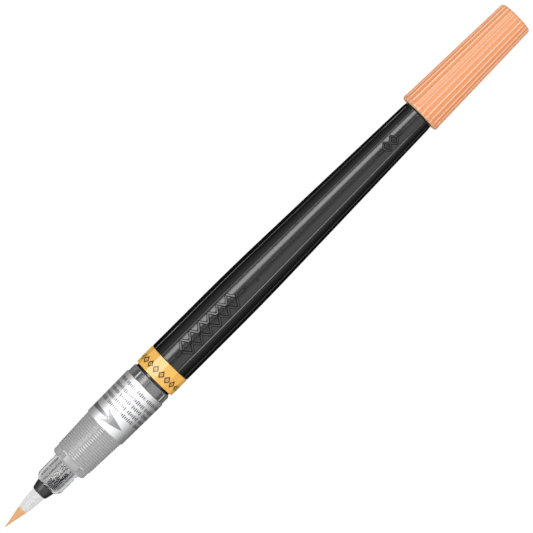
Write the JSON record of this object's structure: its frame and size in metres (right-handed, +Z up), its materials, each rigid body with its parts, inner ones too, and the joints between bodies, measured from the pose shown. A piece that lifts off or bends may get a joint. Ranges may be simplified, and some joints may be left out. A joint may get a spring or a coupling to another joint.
{
  "type": "brush pen",
  "caption": "Squeeze-type brush pen without its cap: nylon tuft, clear ringed grip, loose transit band and ribbed screw-in barrel that holds the ink.",
  "frame": {"origin": "on the surface the pen lies on, under the middle of the pen", "axes": "+X along the pen from the brush tip to the tail, +Z up"},
  "size_m": [0.176, 0.012, 0.0121],
  "materials": {
    "tuft": "fine nylon filaments, stained pale orange at the point",
    "ferrule": "semi-gloss black",
    "clear_plastic": "clear, smoke-grey where thick",
    "feed_plastic": "natural white",
    "felt": "dense white felt",
    "label_film": "silver-white film, satin",
    "band": "yellow-orange, glossy",
    "barrel": "black, semi-gloss",
    "bush": "natural white",
    "ball": "polished",
    "tail_cap": "orange, satin gloss"
  },
  "bodies": {
    "section": {"bristle_tuft": "tuft", "ferrule": "ferrule", "nose_piece": "clear_plastic", "ink_pipe": "feed_plastic", "feed_core": "feed_plastic", "relay_felt": "felt", "piercing_spigot": "feed_plastic", "grip_section": "clear_plastic", "section_label": "label_film"},
    "transit_band": {"transit_band": "band"},
    "barrel": {"barrel": "barrel", "neck_bush": "bush", "tail_cap": "tail_cap"},
    "seal_ball": {"seal_ball": "ball"}
  },
  "joints": [
    {"name": "barrel_advance", "type": "slide", "parent": "section", "child": "transit_band", "axis": [1, 0, 0], "range_m": [0, 0.00401]},
    {"name": "barrel_turn", "type": "hinge", "parent": "transit_band", "child": "barrel", "pos_m": [0, 0, 0.00604], "axis": [-1, 0, 0], "range_deg": [0, 720]},
    {"name": "ball_release", "type": "slide", "parent": "barrel", "child": "seal_ball", "axis": [1, 0, 0], "range_m": [0, 0.006]}
  ],
  "couplings": [
    {"joint": "barrel_advance", "follows": "barrel_turn", "m_per_rad": 0.00031831}
  ]
}
